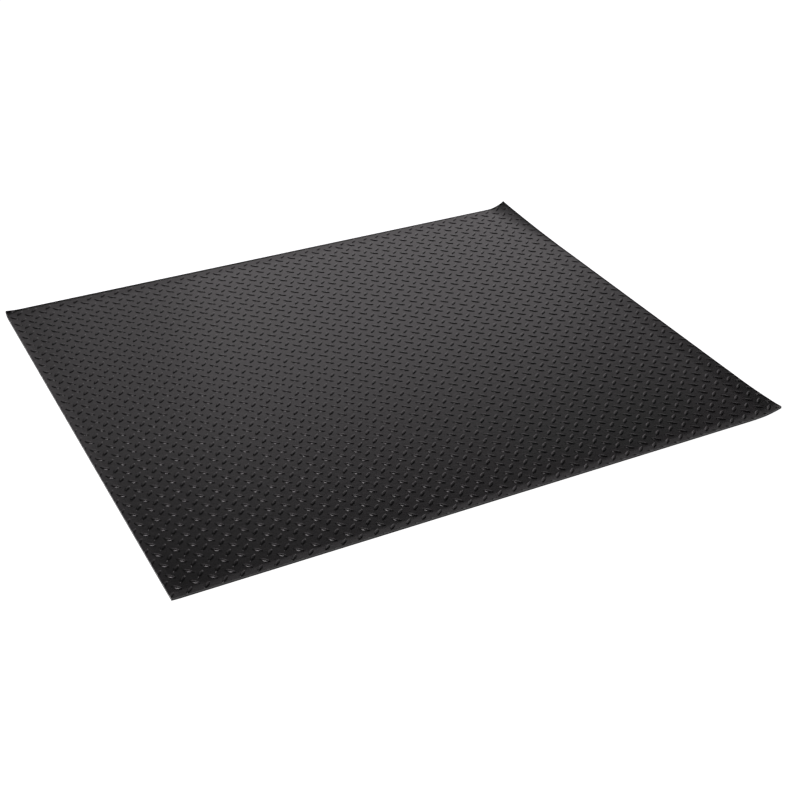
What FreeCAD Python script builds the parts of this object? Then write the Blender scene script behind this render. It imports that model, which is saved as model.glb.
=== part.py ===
import FreeCAD, Part
import os

# Anti fatigue mat: a thin three ply sheet that lies on a floor.
# Millimetres. X runs along the long side, +Y to the back, +Z up. The origin is the centre of the
# underside, on the floor. Three of the four corners curl up off the floor.

DIMENSIONS = {
    "mat_length": 1200,       # along X
    "mat_width": 1000,        # along Y
    "backing_thick": 0.5,     # grip backing, on the floor
    "foam_thick": 2.0,        # foam core, on the backing
    "sheet_thick": 1.5,       # tread sheet, on the foam, without its raised bars
    "back_right_leg": 45,     # from the corner to the ends of its fold line, along both edges
    "back_right_bend": 35,    # height of the bend's axis above the floor
    "front_right_leg": 75,
    "front_right_bend": 170,
    "back_left_leg": 22,
    "back_left_bend": 28,
}

# Each curled corner: its name, and the side of the mat it is on along X and along Y.
CURLED_CORNERS = [("back_right", 1, 1), ("front_right", 1, -1), ("back_left", -1, 1)]

# Each ply from the floor up: its name, its thickness, and the height of its lower face.
PLIES = [
    ("grip_backing", "dims.backing_thick", "0 * dims.backing_thick"),
    ("foam_core", "dims.foam_thick", "dims.backing_thick"),
    ("tread_sheet", "dims.sheet_thick", "dims.backing_thick + dims.foam_thick"),
]

CUT_MARGIN = 1                # how far a cutting shape runs past the ply that it cuts


def make_sheet(doc):
    """The spreadsheet of driving dimensions."""
    sheet = doc.addObject("Spreadsheet::Sheet", "dims")
    for row, (alias, value) in enumerate(DIMENSIONS.items(), start=1):
        sheet.set(f"A{row}", alias)
        sheet.set(f"B{row}", str(value))
        sheet.setAlias(f"B{row}", alias)
    doc.recompute()
    return sheet


def bind(obj, expressions):
    """Binds an object's properties to the spreadsheet."""
    for name, expression in expressions.items():
        obj.setExpression(name, expression)
    return obj


def fold_frame(corner, side_x, side_y):
    """Where a corner's fold line starts, and the turn that lays local X along it, local Y outwards."""
    corner_x = f"{side_x} * dims.mat_length / 2"
    corner_y = f"{side_y} * dims.mat_width / 2"
    if side_x == side_y:
        corner_x += f" - {side_x} * dims.{corner}_leg"
    else:
        corner_y += f" - {side_y} * dims.{corner}_leg"
    outward = {(1, 1): 45, (-1, 1): 135, (-1, -1): 225, (1, -1): 315}[(side_x, side_y)]
    return corner_x, corner_y, FreeCAD.Rotation(FreeCAD.Vector(0, 0, 1), outward - 90)


def corner_block(doc, corner, side_x, side_y):
    """The block beyond a fold line, which takes the flat corner off a ply."""
    start_x, start_y, turn = fold_frame(corner, side_x, side_y)
    block = doc.addObject("Part::Box", f"{corner}_block")
    block.Placement = FreeCAD.Placement(FreeCAD.Vector(0, 0, -CUT_MARGIN), turn)
    return bind(block, {
        "Length": f"dims.{corner}_leg * sqrt(2)",
        "Width": f"dims.{corner}_leg",
        "Height": f"dims.backing_thick + dims.foam_thick + dims.sheet_thick + {2 * CUT_MARGIN}",
        ".Placement.Base.x": start_x,
        ".Placement.Base.y": start_y,
    })


def corner_prism(doc, corner, side_x, side_y):
    """The upright three sided prism that a curled corner fills, seen from above.

    Its base is the fold line. Its tip comes in as the corner bends, because the ply keeps its length.
    """
    start_x, start_y, turn = fold_frame(corner, side_x, side_y)
    prism = doc.addObject("Part::Wedge", f"{corner}_prism")
    prism.Placement = FreeCAD.Placement(FreeCAD.Vector(0, 0, 0), turn)
    fold_length = f"dims.{corner}_leg * sqrt(2)"
    bend = f"dims.{corner}_bend"
    flat_reach = f"dims.{corner}_leg / sqrt(2)"
    return bind(prism, {
        "Xmin": f"0 * {bend}",
        "Xmax": fold_length,
        "X2min": f"{fold_length} / 2",
        "X2max": f"{fold_length} / 2",
        "Ymin": f"0 * {bend}",
        "Ymax": f"{bend} * sin({flat_reach} / {bend} * 180 deg / pi)",
        "Zmin": f"0 * {bend} - {CUT_MARGIN}",
        "Z2min": f"0 * {bend} - {CUT_MARGIN}",
        "Zmax": bend,
        "Z2max": bend,
        ".Placement.Base.x": start_x,
        ".Placement.Base.y": start_y,
    })


def bend_cylinder(doc, name, corner, side_x, side_y, height):
    """A cylinder about a corner's bend axis that touches the ply's face at the given height."""
    start_x, start_y, turn = fold_frame(corner, side_x, side_y)
    lay_down = FreeCAD.Rotation(FreeCAD.Vector(0, 1, 0), 90)
    cylinder = doc.addObject("Part::Cylinder", name)
    cylinder.Placement = FreeCAD.Placement(FreeCAD.Vector(0, 0, 0), turn.multiply(lay_down))
    return bind(cylinder, {
        "Radius": f"dims.{corner}_bend - ({height})",
        "Height": f"dims.{corner}_leg * sqrt(2)",
        ".Placement.Base.x": start_x,
        ".Placement.Base.y": start_y,
        ".Placement.Base.z": f"dims.{corner}_bend",
    })


def curled_corner(doc, ply, thickness, lower, corner, side_x, side_y, prism):
    """One ply's curled corner: a length of tube wall inside the corner's prism."""
    upper = f"{lower} + {thickness}"
    wall = doc.addObject("Part::Cut", f"{ply}_{corner}_wall")
    wall.Base = bend_cylinder(doc, f"{ply}_{corner}_under", corner, side_x, side_y, lower)
    wall.Tool = bend_cylinder(doc, f"{ply}_{corner}_over", corner, side_x, side_y, upper)
    curl = doc.addObject("Part::Common", f"{ply}_{corner}_curl")
    curl.Base = wall
    curl.Tool = prism
    return curl


def make_ply(doc, ply, thickness, lower, blocks, prisms):
    """One ply: a flat slab without its curled corners, joined to those corners."""
    slab = doc.addObject("Part::Box", f"{ply}_slab")
    bind(slab, {
        "Length": "dims.mat_length",
        "Width": "dims.mat_width",
        "Height": thickness,
        ".Placement.Base.x": "-dims.mat_length / 2",
        ".Placement.Base.y": "-dims.mat_width / 2",
        ".Placement.Base.z": lower,
    })
    flat = doc.addObject("Part::Cut", f"{ply}_flat")
    flat.Base = slab
    flat.Tool = blocks
    curls = [
        curled_corner(doc, ply, thickness, lower, *corner, prism)
        for corner, prism in zip(CURLED_CORNERS, prisms)
    ]
    whole = doc.addObject("Part::MultiFuse", ply)
    whole.Shapes = [flat] + curls
    whole.Refine = True
    whole.Label = ply
    return whole


def check(doc, parts):
    """Stops on any failed object, and on any sub-part that isn't one valid solid."""
    for obj in doc.Objects:
        if "Invalid" in obj.State or "Error" in obj.State:
            raise RuntimeError(f"{obj.Name} failed: {obj.State}")
    for part in parts:
        if part.Shape.isNull() or not part.Shape.isValid() or len(part.Shape.Solids) != 1:
            raise RuntimeError(f"{part.Label} is not one valid solid")


doc = FreeCAD.newDocument("anti_fatigue_mat")
make_sheet(doc)
blocks = doc.addObject("Part::MultiFuse", "corner_blocks")
blocks.Shapes = [corner_block(doc, *corner) for corner in CURLED_CORNERS]
prisms = [corner_prism(doc, *corner) for corner in CURLED_CORNERS]
parts = [make_ply(doc, *ply, blocks, prisms) for ply in PLIES]
doc.recompute()
check(doc, parts)

os.makedirs("parts", exist_ok=True)
for part in parts:
    part.Shape.exportStep(f"parts/{part.Label}.step")
    box = part.Shape.BoundBox
    print(part.Label, round(part.Shape.Volume), "mm3", len(part.Shape.Faces), "faces",
          "z", round(box.ZMin, 3), round(box.ZMax, 3))
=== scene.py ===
import math

import bmesh
import bpy
from mathutils import Euler, Matrix, Vector


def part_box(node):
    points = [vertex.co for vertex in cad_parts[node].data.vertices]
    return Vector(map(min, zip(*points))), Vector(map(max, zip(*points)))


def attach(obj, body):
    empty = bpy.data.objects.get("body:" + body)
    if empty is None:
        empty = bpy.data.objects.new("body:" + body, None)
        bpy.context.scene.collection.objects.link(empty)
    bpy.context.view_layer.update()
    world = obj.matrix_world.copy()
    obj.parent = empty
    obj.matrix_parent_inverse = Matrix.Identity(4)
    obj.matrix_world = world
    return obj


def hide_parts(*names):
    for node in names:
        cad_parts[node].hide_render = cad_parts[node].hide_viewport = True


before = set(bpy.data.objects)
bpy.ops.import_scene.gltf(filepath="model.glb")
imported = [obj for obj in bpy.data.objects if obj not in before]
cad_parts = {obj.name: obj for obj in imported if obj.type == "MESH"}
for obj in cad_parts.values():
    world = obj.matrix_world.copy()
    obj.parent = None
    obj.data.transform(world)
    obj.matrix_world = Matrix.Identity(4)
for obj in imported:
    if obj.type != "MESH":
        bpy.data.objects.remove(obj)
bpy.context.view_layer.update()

# ---------------------------------------------------------------------------------------------
# Grip backing: a thin black vinyl film, calendered with a fine pebble grain and bonded to the
# underside of the foam. It keeps the mat from sliding and takes the scuffs from the floor.
MM = 0.001
CLOSE = 0.05 * MM               # points nearer than this are the same point
half_x, half_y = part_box("grip_backing")[1].xy
foam_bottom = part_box("foam_core")[0].z
tread_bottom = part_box("tread_sheet")[0].z

# The mat is one limp laminate, so its plies all lie the same way. The cut edges roll up a little:
# axis across the edge, side, width and lift of the roll, width and lift of the lip at the very edge,
# and how much more than that the roll lifts at the edge's left or front end, as a part.
EDGE_ROLLS = (
    (1, -1, 16 * MM, 0.8 * MM, 5 * MM, 0.0 * MM, 0.0),
    (1, 1, 28 * MM, 1.3 * MM, 6 * MM, 0.7 * MM, 0.5),
    (0, 1, 40 * MM, 2.0 * MM, 6 * MM, 1.0 * MM, 0.0),
    (0, -1, 16 * MM, 0.6 * MM, 5 * MM, 0.0 * MM, 0.0),
)
# Three corners curl up about slanting fold lines: side along x and y, where the fold line meets
# the edge that runs along x and the one that runs along y, height of the bend's axis.
CORNER_CURLS = (
    (1, 1, 50 * MM, 300 * MM, 90 * MM),
    (1, -1, 75 * MM, 140 * MM, 290 * MM),
    (-1, 1, 45 * MM, 22 * MM, 46 * MM),
)
FOLD_STEPS = 6                  # flat strips that a curled corner is bent in
ROLL_CUTS = (1.1, 1.0, 0.82, 0.64, 0.46, 0.28, 0.12)    # cuts along a roll, as parts of its width
SQUARES_X, SQUARES_Y = 24, 20   # a ply's plain faces are squares about 50 mm wide
TRIM = 3 * MM                   # the right edge was cut out of square: this far in at its front end


def fold_line(side_x, side_y, leg_x, leg_y):
    """A point on a corner's fold line, the direction square to it, and the corner's reach past it."""
    out = Vector((side_x / leg_x, side_y / leg_y, 0)).normalized()
    start = Vector((side_x * (half_x - leg_x), side_y * half_y, 0))
    reach = (Vector((side_x * half_x, side_y * half_y, 0)) - start).dot(out)
    return start, out, reach


def lie(point):
    """Where a point of the flat mat ends up once the mat lies on the floor."""
    place = Vector(point)
    halves = (half_x, half_y)
    for axis, side, roll_width, roll_lift, lip_width, lip_lift, lean in EDGE_ROLLS:
        inside = max(halves[axis] - side * point[axis], 0)
        leaning = 1 - lean * point[1 - axis] / halves[1 - axis]
        place.z += roll_lift * leaning * max(1 - inside / roll_width, 0) ** 1.2
        place.z += lip_lift * max(1 - inside / lip_width, 0) ** 1.5
    for side_x, side_y, leg_x, leg_y, axis_height in CORNER_CURLS:
        start, out, reach = fold_line(side_x, side_y, leg_x, leg_y)
        beyond = (Vector((place.x, place.y, 0)) - start).dot(out)
        if beyond > 0:
            radius = axis_height - place.z
            angle = beyond / axis_height
            place += out * (radius * math.sin(angle) - beyond)
            place.z = axis_height - radius * math.cos(angle)
    return place


def everything(faces):
    """The faces with their edges and verts, as the bmesh operators want them."""
    edges = {e for f in faces for e in f.edges}
    verts = {v for f in faces for v in f.verts}
    return list(faces) + list(edges) + list(verts)


def lay_down(bm):
    """Cuts a flat ply along its bends and puts it the way the mat lies."""
    def cut(point, normal, faces):
        bmesh.ops.bisect_plane(bm, geom=everything(faces), plane_co=point, plane_no=normal)
    for axis, side, roll_width, roll_lift, lip_width, lip_lift, lean in EDGE_ROLLS:
        normal = Vector((1, 0, 0)) if axis == 0 else Vector((0, 1, 0))
        bends = [roll_width * part for part in ROLL_CUTS] + [lip_width * part for part in ROLL_CUTS[::2]]
        for inside in bends:
            outer = (half_x, half_y)[axis] - inside
            rim = [f for f in bm.faces if max(v.co[axis] * side for v in f.verts) > outer]
            cut(normal * side * outer, normal, rim)
    for side_x, side_y, leg_x, leg_y, axis_height in CORNER_CURLS:
        start, out, reach = fold_line(side_x, side_y, leg_x, leg_y)
        for step in range(FOLD_STEPS):
            beyond = reach * step / FOLD_STEPS
            bent = [f for f in bm.faces if max((v.co - start).dot(out) for v in f.verts) > beyond]
            cut(start + out * beyond, out, bent)
    for v in bm.verts:
        v.co = lie(v.co)


def plain_ply(bottom, top, inset):
    """A flat ply made of squares, its sides set in from the cut edges of the mat."""
    bm = bmesh.new()
    bmesh.ops.create_grid(bm, x_segments=SQUARES_X, y_segments=SQUARES_Y, size=1)
    bmesh.ops.scale(bm, vec=(half_x - inset, half_y - inset, 1), verts=bm.verts)
    bmesh.ops.translate(bm, vec=(0, 0, bottom), verts=bm.verts)
    for v in bm.verts:
        if v.co.x > half_x - inset - MM:
            v.co.x -= TRIM * (half_y - v.co.y) / (2 * half_y)
    made = bmesh.ops.extrude_face_region(bm, geom=bm.faces[:])
    upper = [g for g in made["geom"] if isinstance(g, bmesh.types.BMVert)]
    bmesh.ops.translate(bm, vec=(0, 0, top - bottom), verts=upper)
    return bm


def add_piece(name, bm, material, node):
    """Makes a finished mesh the object that stands for a node of the frame."""
    bmesh.ops.recalc_face_normals(bm, faces=bm.faces)
    mesh = bpy.data.meshes.new(name)
    bm.to_mesh(mesh)
    bm.free()
    piece = bpy.data.objects.new(name, mesh)
    bpy.context.scene.collection.objects.link(piece)
    mesh.materials.append(material)
    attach(piece, "root")
    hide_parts(node)
    return piece


def srgb(code):
    """A linear colour from an sRGB hex value."""
    parts = [int(code[i:i + 2], 16) / 255 for i in (1, 3, 5)]
    return [c / 12.92 if c <= 0.04045 else ((c + 0.055) / 1.055) ** 2.4 for c in parts] + [1]


def add_node(material, kind, settings, links):
    """Adds a shader node, sets its properties and sockets, and links its inputs."""
    node = material.node_tree.nodes.new(kind)
    for name, value in settings.items():
        if hasattr(node, name):
            setattr(node, name, value)
        else:
            node.inputs[name].default_value = value
    for name, output in links.items():
        material.node_tree.links.new(output, node.inputs[name])
    return node


def new_material(name, colour, roughness):
    """A material of one colour, and its shader."""
    material = bpy.data.materials.new(name)
    material.use_nodes = True
    shader = material.node_tree.nodes["Principled BSDF"]
    shader.inputs["Base Color"].default_value = srgb(colour)
    shader.inputs["Roughness"].default_value = roughness
    return material, shader


# Calendered vinyl film: dull black. The roller pressed in pebbles 1.6 mm apart, 0.2 mm deep, which
# break up its shine.
backing_vinyl, shader = new_material("calendered_vinyl_backing", "#232324", 0.55)
place = add_node(backing_vinyl, "ShaderNodeTexCoord", {}, {})
pebbles = add_node(backing_vinyl, "ShaderNodeTexVoronoi", {"Scale": 1 / (1.6 * MM)},
                   {"Vector": place.outputs["Object"]})
grain = add_node(backing_vinyl, "ShaderNodeBump", {"Strength": 0.6, "Distance": 0.2 * MM},
                 {"Height": pebbles.outputs["Distance"]})
backing_vinyl.node_tree.links.new(grain.outputs["Normal"], shader.inputs["Normal"])

bm = plain_ply(0, foam_bottom, 0)
lay_down(bm)
add_piece("grip_backing_film", bm, backing_vinyl, "grip_backing")

# ---------------------------------------------------------------------------------------------
# Foam core: a sheet of closed cell vinyl foam, the soft ply that gives underfoot. It is bonded to
# the vinyl above and below; where the mat is cut to size it shrinks back a little between them.
FOAM_SHRINK = 0.3 * MM

# Closed cell foam: matt and near black, with cut cells that read as a fine pitted edge. Real cells
# are about 0.3 mm across; they are drawn at 0.7 mm so that they still show.
foam, shader = new_material("closed_cell_foam", "#1c1c1d", 0.85)
place = add_node(foam, "ShaderNodeTexCoord", {}, {})
cells = add_node(foam, "ShaderNodeTexVoronoi", {"Scale": 1 / (0.7 * MM)},
                 {"Vector": place.outputs["Object"]})
pits = add_node(foam, "ShaderNodeBump", {"Strength": 0.8, "Distance": 0.25 * MM},
                {"Height": cells.outputs["Distance"]})
foam.node_tree.links.new(pits.outputs["Normal"], shader.inputs["Normal"])

bm = plain_ply(foam_bottom, tread_bottom, FOAM_SHRINK)
lay_down(bm)
core = add_piece("foam_core_sheet", bm, foam, "foam_core")

# ---------------------------------------------------------------------------------------------
# Tread sheet: the wearing surface, black vinyl embossed by a patterned roller with a diamond plate
# tread: rows of low pointed bars, each square to its neighbours. It is bonded down on the foam.
TREAD_THICK = 1.5 * MM
tread_top = tread_bottom + TREAD_THICK
PITCH_X = 2 * half_x / 40.8     # from a bar to the next that lies the same way
PITCH_Y = 2 * half_y / 33.8
PITCH = (PITCH_X + PITCH_Y) / 2
FIRST_BAR = (0.50, -0.08)       # first bar's centre in pitches from the back left corner
SKEW = math.radians(0.31)       # the mat was cut off the roll slightly out of square
BAR_LENGTH = 20.4 * MM
BAR_WIDTH = 7.6 * MM
BAR_HEIGHT = 1.2 * MM
BAR_RINGS = (                   # a bar's shape: length, width and height as parts of the whole
    (1.00, 1.00, 0.00),
    (0.84, 0.66, 0.86),
    (0.66, 0.40, 1.00),
)
SWELL = (0.56, 0.69)            # where a bar's outline passes between its tip and its middle
PRESSED = 7 * MM                # the cutting blade pressed the bars flat this far in, back and right
COLUMNS, ROWS = 43, 36          # one more each way than the mat needs, for the cut

# Embossed vinyl: near black, with the soft sheen of a plasticised skin that turns light where it
# mirrors the studio at a low angle. The roller left a faint leather grain, and the skin ripples
# gently over the foam under it; both break up the sheen.
vinyl, shader = new_material("embossed_vinyl", "#121213", 0.27)
shader.inputs["IOR"].default_value = 1.53
place = add_node(vinyl, "ShaderNodeTexCoord", {}, {})
leather = add_node(vinyl, "ShaderNodeTexNoise", {"Scale": 1 / (1.2 * MM), "Detail": 3.0},
                   {"Vector": place.outputs["Object"]})
grain = add_node(vinyl, "ShaderNodeBump", {"Strength": 0.35, "Distance": 0.15 * MM},
                 {"Height": leather.outputs["Fac"]})
ripples = add_node(vinyl, "ShaderNodeTexNoise", {"Scale": 1 / (9 * MM), "Detail": 2.0},
                   {"Vector": place.outputs["Object"]})
skin = add_node(vinyl, "ShaderNodeBump", {"Strength": 0.5, "Distance": 0.25 * MM},
                {"Height": ripples.outputs["Fac"], "Normal": grain.outputs["Normal"]})
vinyl.node_tree.links.new(skin.outputs["Normal"], shader.inputs["Normal"])


def shape_ring(verts, length, width, height):
    """Puts the eight verts of a ring on a pointed oval: two tips, two middles and four between."""
    for v in verts:
        along = 0 if abs(v.co.x) < CLOSE else math.copysign(1, v.co.x)
        across = 0 if abs(v.co.y) < CLOSE else math.copysign(1, v.co.y)
        if along and across:
            along, across = along * SWELL[0], across * SWELL[1]
        v.co = Vector((along * length / 2, across * width / 2, height))


# one cell: a square of sheet with its corners on the pitch grid, and a bar raised in its middle
cell = bmesh.new()
bmesh.ops.create_circle(cell, cap_ends=True, segments=8, radius=1)
for v in cell.verts:
    v.co *= PITCH / math.sqrt(8) / max(abs(v.co.x), abs(v.co.y))
top = cell.faces[:][0]
for length, width, height in BAR_RINGS:
    top = bmesh.ops.extrude_discrete_faces(cell, faces=[top])["faces"][0]
    shape_ring(top.verts, length * BAR_LENGTH, width * BAR_WIDTH, height * BAR_HEIGHT)
    for e in top.edges:
        e.smooth = height > 0
for f in cell.faces:
    f.smooth = True

# two cells side by side, their bars square to each other, repeated along both sides of the mat
bm = bmesh.new()
pressed = bpy.data.meshes.new("cell")
for turn, shift in ((-45, 0), (90, PITCH / 2)):
    turned = Matrix.Rotation(math.radians(turn), 3, "Z")
    bmesh.ops.rotate(cell, cent=(0, 0, 0), matrix=turned, verts=cell.verts)
    bmesh.ops.translate(cell, vec=(shift, -shift, 0), verts=cell.verts)
    cell.to_mesh(pressed)
    bm.from_mesh(pressed)
cell.free()
for count, step in ((COLUMNS, Vector((PITCH, 0, 0))), (ROWS, Vector((0, -PITCH, 0)))):
    copied = bm.verts[:] + bm.edges[:] + bm.faces[:]
    for index in range(1, count):
        made = bmesh.ops.duplicate(bm, geom=copied)
        moved = [g for g in made["geom"] if isinstance(g, bmesh.types.BMVert)]
        bmesh.ops.translate(bm, vec=step * index, verts=moved)
bmesh.ops.remove_doubles(bm, verts=bm.verts, dist=CLOSE)
bmesh.ops.translate(bm, vec=(-PITCH, PITCH, 0), verts=bm.verts)
bmesh.ops.scale(bm, vec=(PITCH_X / PITCH, PITCH_Y / PITCH, 1), verts=bm.verts)
first = Vector((FIRST_BAR[0] * PITCH_X - half_x, half_y - FIRST_BAR[1] * PITCH_Y, tread_top))
bmesh.ops.translate(bm, vec=first, verts=bm.verts)
bmesh.ops.rotate(bm, cent=(0, 0, 0), matrix=Matrix.Rotation(SKEW, 3, "Z"), verts=bm.verts)

# the sheet is cut to size, which gives it its sides, and closed underneath
front_left = Vector((-half_x, -half_y, 0))
back_right = Vector((half_x, half_y, 0))
for corner, side in (
    (front_left, (-1, 0, 0)),
    (front_left, (0, -1, 0)),
    (back_right, (1, -TRIM / (2 * half_y), 0)),
    (back_right, (0, 1, 0)),
):
    bmesh.ops.bisect_plane(bm, geom=everything(bm.faces), plane_co=corner, plane_no=side, clear_outer=True)
for v in bm.verts:
    to_back = half_y - v.co.y
    to_right = half_x - TRIM * to_back / (2 * half_y) - v.co.x
    left = min(max(to_back / PRESSED, 0), 1) * min(max(to_right / PRESSED, 0), 1)
    v.co.z = tread_top + (v.co.z - tread_top) * left
rim = [e for e in bm.edges if e.is_boundary]
for e in rim:
    e.smooth = False
made = bmesh.ops.extrude_edge_only(bm, edges=rim)
for g in made["geom"]:
    if isinstance(g, bmesh.types.BMVert):
        g.co.z = tread_bottom
bmesh.ops.contextual_create(bm, geom=[e for e in bm.edges if e.is_boundary])
for across, half, squares in (((1, 0, 0), half_x, SQUARES_X), ((0, 1, 0), half_y, SQUARES_Y)):
    for index in range(1, squares):
        line = Vector(across) * half * (2 * index / squares - 1)
        under = [f for f in bm.faces if all(v.co.z < tread_bottom + CLOSE for v in f.verts)]
        bmesh.ops.bisect_plane(bm, geom=everything(under), plane_co=line, plane_no=across)
lay_down(bm)
bmesh.ops.triangulate(bm, faces=[f for f in bm.faces if len(f.verts) > 4])
add_piece("tread_sheet_vinyl", bm, vinyl, "tread_sheet")

# ---------------------------------------------------------------------------------------------
# Studio: a camera at standing height off the mat's front left corner, a pale floor, a bright
# backdrop low behind the mat that gives its sheen, and one small softbox high over its left side.
camera = bpy.data.objects.new("camera", bpy.data.cameras.new("camera"))
bpy.context.scene.collection.objects.link(camera)
bpy.context.scene.camera = camera
camera.data.lens = 63.07
camera.data.sensor_width = 36
aim = Euler((math.radians(90 - 32.54), 0, math.radians(-28.17))).to_matrix()
aim = aim @ Matrix.Rotation(math.radians(1.05), 3, "Z")
camera.matrix_world = Matrix.Translation((-1.0693, -2.1029, 1.4155)) @ aim.to_4x4()
camera.data.clip_end = 60
bpy.context.scene.view_settings.view_transform = "Standard"

# Floor: white studio paper, lit from below so that it stays even and white. It lies a hair below
# the mat.
FLOOR_REACH = 12
FLOOR_GAP = 0.2 * MM
paper, shader = new_material("white_studio_paper", "#ededed", 0.9)
shader.inputs["Emission Color"].default_value = (1, 1, 1, 1)
shader.inputs["Emission Strength"].default_value = 1.0
bm = bmesh.new()
bmesh.ops.create_grid(bm, x_segments=1, y_segments=1, size=FLOOR_REACH)
bmesh.ops.translate(bm, vec=(0, 0, -FLOOR_GAP), verts=bm.verts)
mesh = bpy.data.meshes.new("floor")
bm.to_mesh(mesh)
bm.free()
mesh.materials.append(paper)
floor = bpy.data.objects.new("floor", mesh)
bpy.context.scene.collection.objects.link(floor)

world = bpy.data.worlds.new("studio")
world.use_nodes = True
world.node_tree.nodes["Background"].inputs["Color"].default_value = (1, 1, 1, 1)
world.node_tree.nodes["Background"].inputs["Strength"].default_value = 0.04
bpy.context.scene.world = world


def softbox(name, place, target, width, height, radiance):
    """A flat lamp that faces the target; its power follows from its size and radiance."""
    light = bpy.data.lights.new(name, "AREA")
    light.shape = "RECTANGLE"
    light.size, light.size_y = width, height
    light.energy = radiance * width * height
    light.color = (1.0, 0.945, 0.972)
    lamp = bpy.data.objects.new(name, light)
    bpy.context.scene.collection.objects.link(lamp)
    lamp.location = place
    lamp.rotation_euler = (Vector(target) - Vector(place)).to_track_quat("-Z", "Y").to_euler()


softbox("side_softbox", (-1.1, -0.35, 1.9), (-0.5, -0.3, 0), 0.5, 0.5, 46)
# The backdrop is brightest in its middle, so three panels stand one behind the other: left and
# right side, height and radiance of each.
PANELS = (
    (-0.5, 3.4, 1.7, 0.99),
    (-0.2, 2.0, 1.55, 0.98),
    (0.3, 3.4, 1.9, 0.97),
)
BACKDROP_Y = 2.0
PANEL_GAP = 0.03
for index, (left, right, height, radiance) in enumerate(PANELS):
    place = ((left + right) / 2, BACKDROP_Y + PANEL_GAP * index, height / 2)
    softbox(f"backdrop_{index}", place, (place[0], 0, place[2]), right - left, height, radiance)
